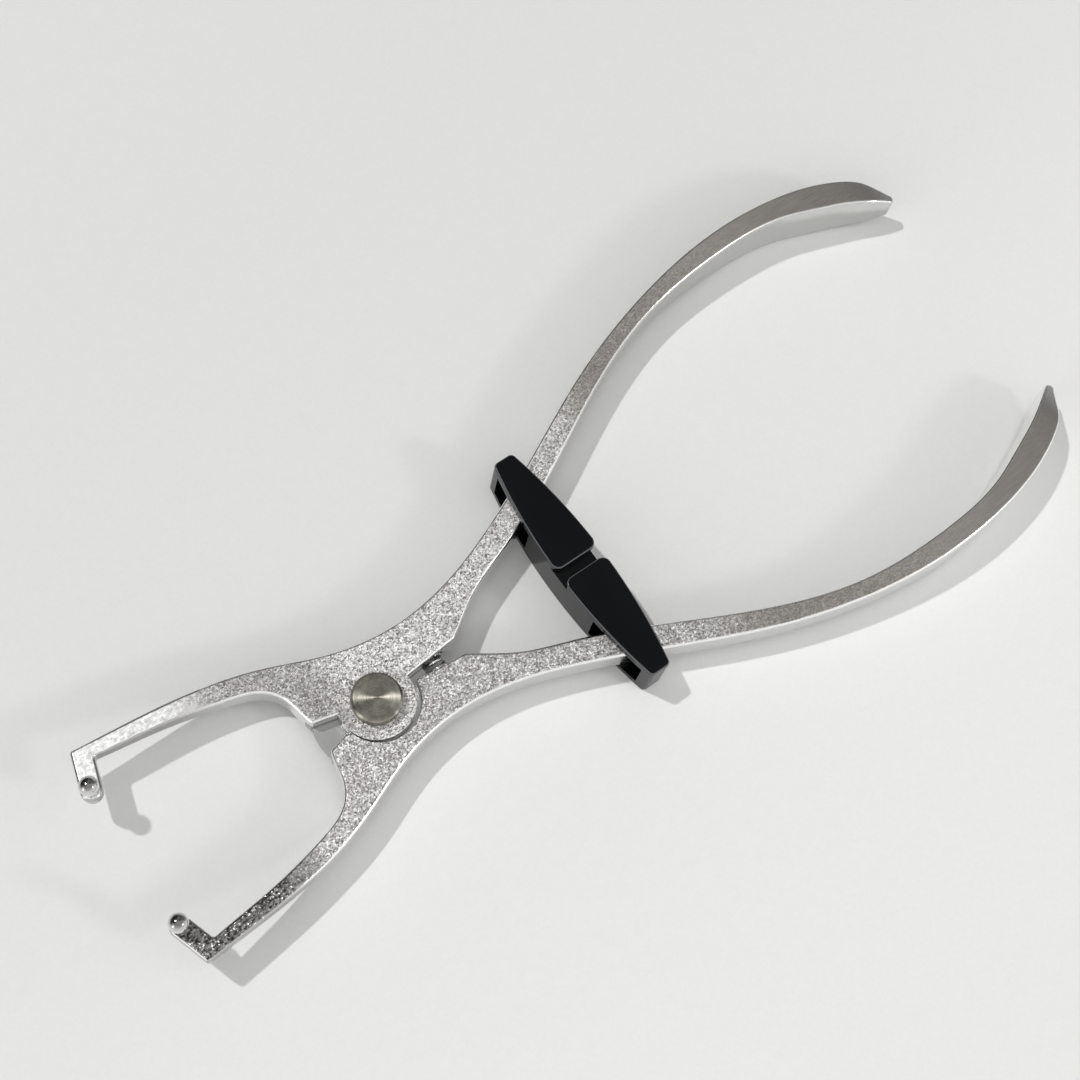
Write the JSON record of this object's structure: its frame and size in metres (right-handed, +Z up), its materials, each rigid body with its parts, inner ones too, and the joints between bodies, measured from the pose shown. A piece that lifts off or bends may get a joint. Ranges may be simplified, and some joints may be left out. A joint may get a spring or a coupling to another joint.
{
  "type": "orthodontic separator pliers",
  "caption": "Expanding separator pliers with ball-ended jaw pins, bowed handles, a return spring and a black lock slider; squeezing the handles spreads the jaws.",
  "frame": {"origin": "on the pivot axis, on the flat face of the pivot screw that meets the table", "axes": "+X from the pivot towards the handles, +Z up out of the table along the pivot axis, +Y towards the lever that carries the boss"},
  "size_m": [0.1683, 0.0672, 0.0135],
  "materials": {
    "upper_lever": "sand-blasted flat faces, polished rims",
    "lower_lever": "sand-blasted flat faces, polished rims",
    "pivot_barrel": "turned head, fine rings",
    "pivot_screw": "turned",
    "spring": "bright drawn wire",
    "slider": "moulded, glossy black"
  },
  "bodies": {
    "pivot": {"pivot_barrel": "pivot_barrel", "pivot_screw": "pivot_screw", "spring": "spring"},
    "upper_lever": {"upper_lever": "upper_lever"},
    "lower_lever": {"lower_lever": "lower_lever"},
    "slider": {"slider": "slider"}
  },
  "joints": [
    {"name": "upper_lever_hinge", "type": "hinge", "parent": "pivot", "child": "upper_lever", "pos_m": [0, 0, 0], "axis": [0, 0, 1], "range_deg": [-5, 11], "deforming": ["spring"]},
    {"name": "lower_lever_hinge", "type": "hinge", "parent": "pivot", "child": "lower_lever", "pos_m": [0, 0, 0], "axis": [0, 0, 1], "range_deg": [-11, 5]},
    {"name": "slider_slide", "type": "slide", "parent": "pivot", "child": "slider", "axis": [1, 0, 0], "range_m": [-0.01541, 0.00701]}
  ],
  "couplings": [
    {"joint": "lower_lever_hinge", "follows": "upper_lever_hinge", "ratio": -1},
    {"joint": "slider_slide", "follows": "upper_lever_hinge", "m_per_rad": -0.0802}
  ]
}
